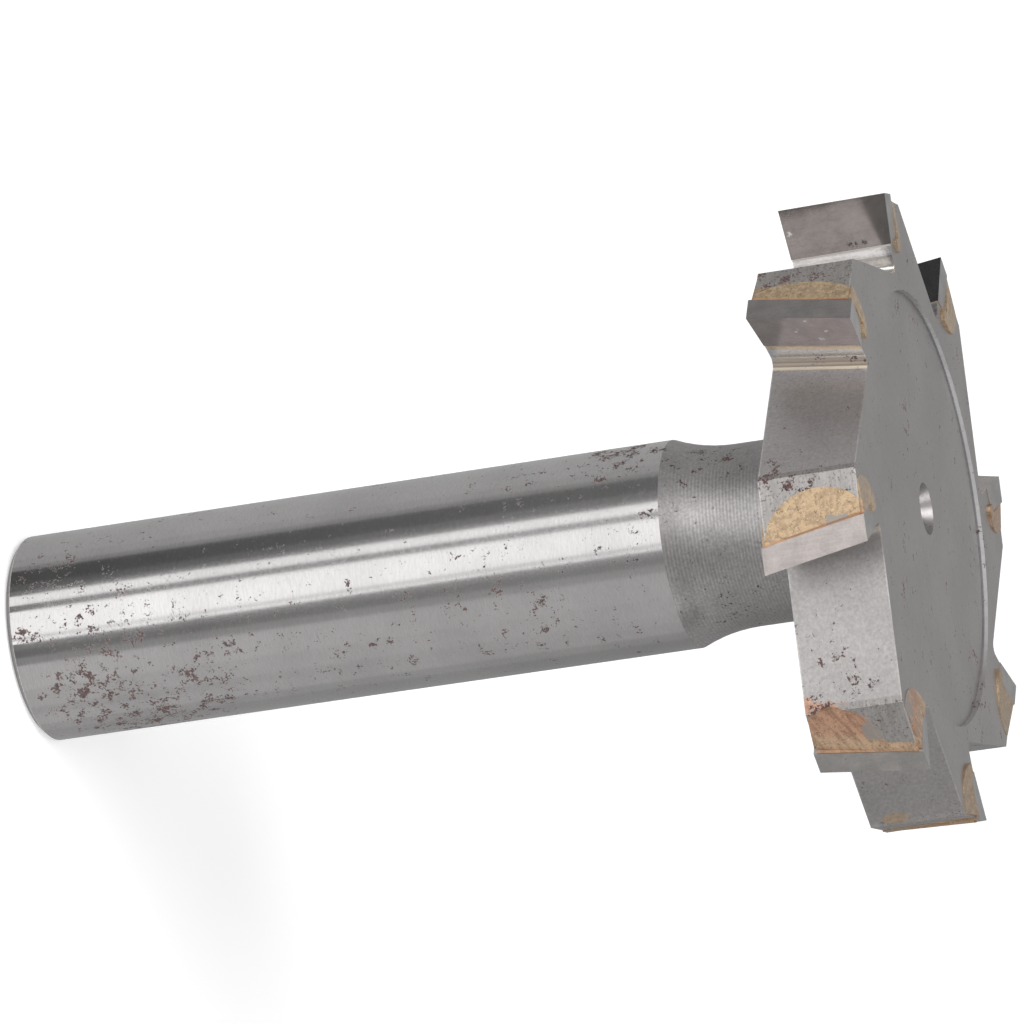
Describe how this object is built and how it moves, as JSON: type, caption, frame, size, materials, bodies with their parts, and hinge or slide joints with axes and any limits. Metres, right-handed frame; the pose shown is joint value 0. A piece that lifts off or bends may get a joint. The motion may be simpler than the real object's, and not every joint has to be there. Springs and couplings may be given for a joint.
{
  "type": "woodruff keyseat cutter",
  "caption": "Shank-type side milling cutter with a thin staggered-tooth head and brazed carbide tips, for milling half-moon key seats in shafts.",
  "frame": {"origin": "centre of the shank's end face", "axes": "+Z along the axis from the shank end to the cutting head; +X through the middle of the first tooth's cutting edge; the teeth cut towards increasing angle about +Z"},
  "size_m": [0.0382, 0.0382, 0.0571],
  "materials": {
    "steel": "ground and turned tool steel, bright on the shank, matt on the head, with small rust pits",
    "carbide": "fine-ground cemented carbide, grey, half bright",
    "braze": "dull golden braze filler with a copper tinge along the tips"
  },
  "bodies": {
    "root": {"cutter_body": "steel", "carbide_tip_1": "carbide", "braze_joint_1": "braze", "carbide_tip_2": "carbide", "braze_joint_2": "braze", "carbide_tip_3": "carbide", "braze_joint_3": "braze", "carbide_tip_4": "carbide", "braze_joint_4": "braze", "carbide_tip_5": "carbide", "braze_joint_5": "braze", "carbide_tip_6": "carbide", "braze_joint_6": "braze", "carbide_tip_7": "carbide", "braze_joint_7": "braze", "carbide_tip_8": "carbide", "braze_joint_8": "braze"}
  },
  "joints": []
}
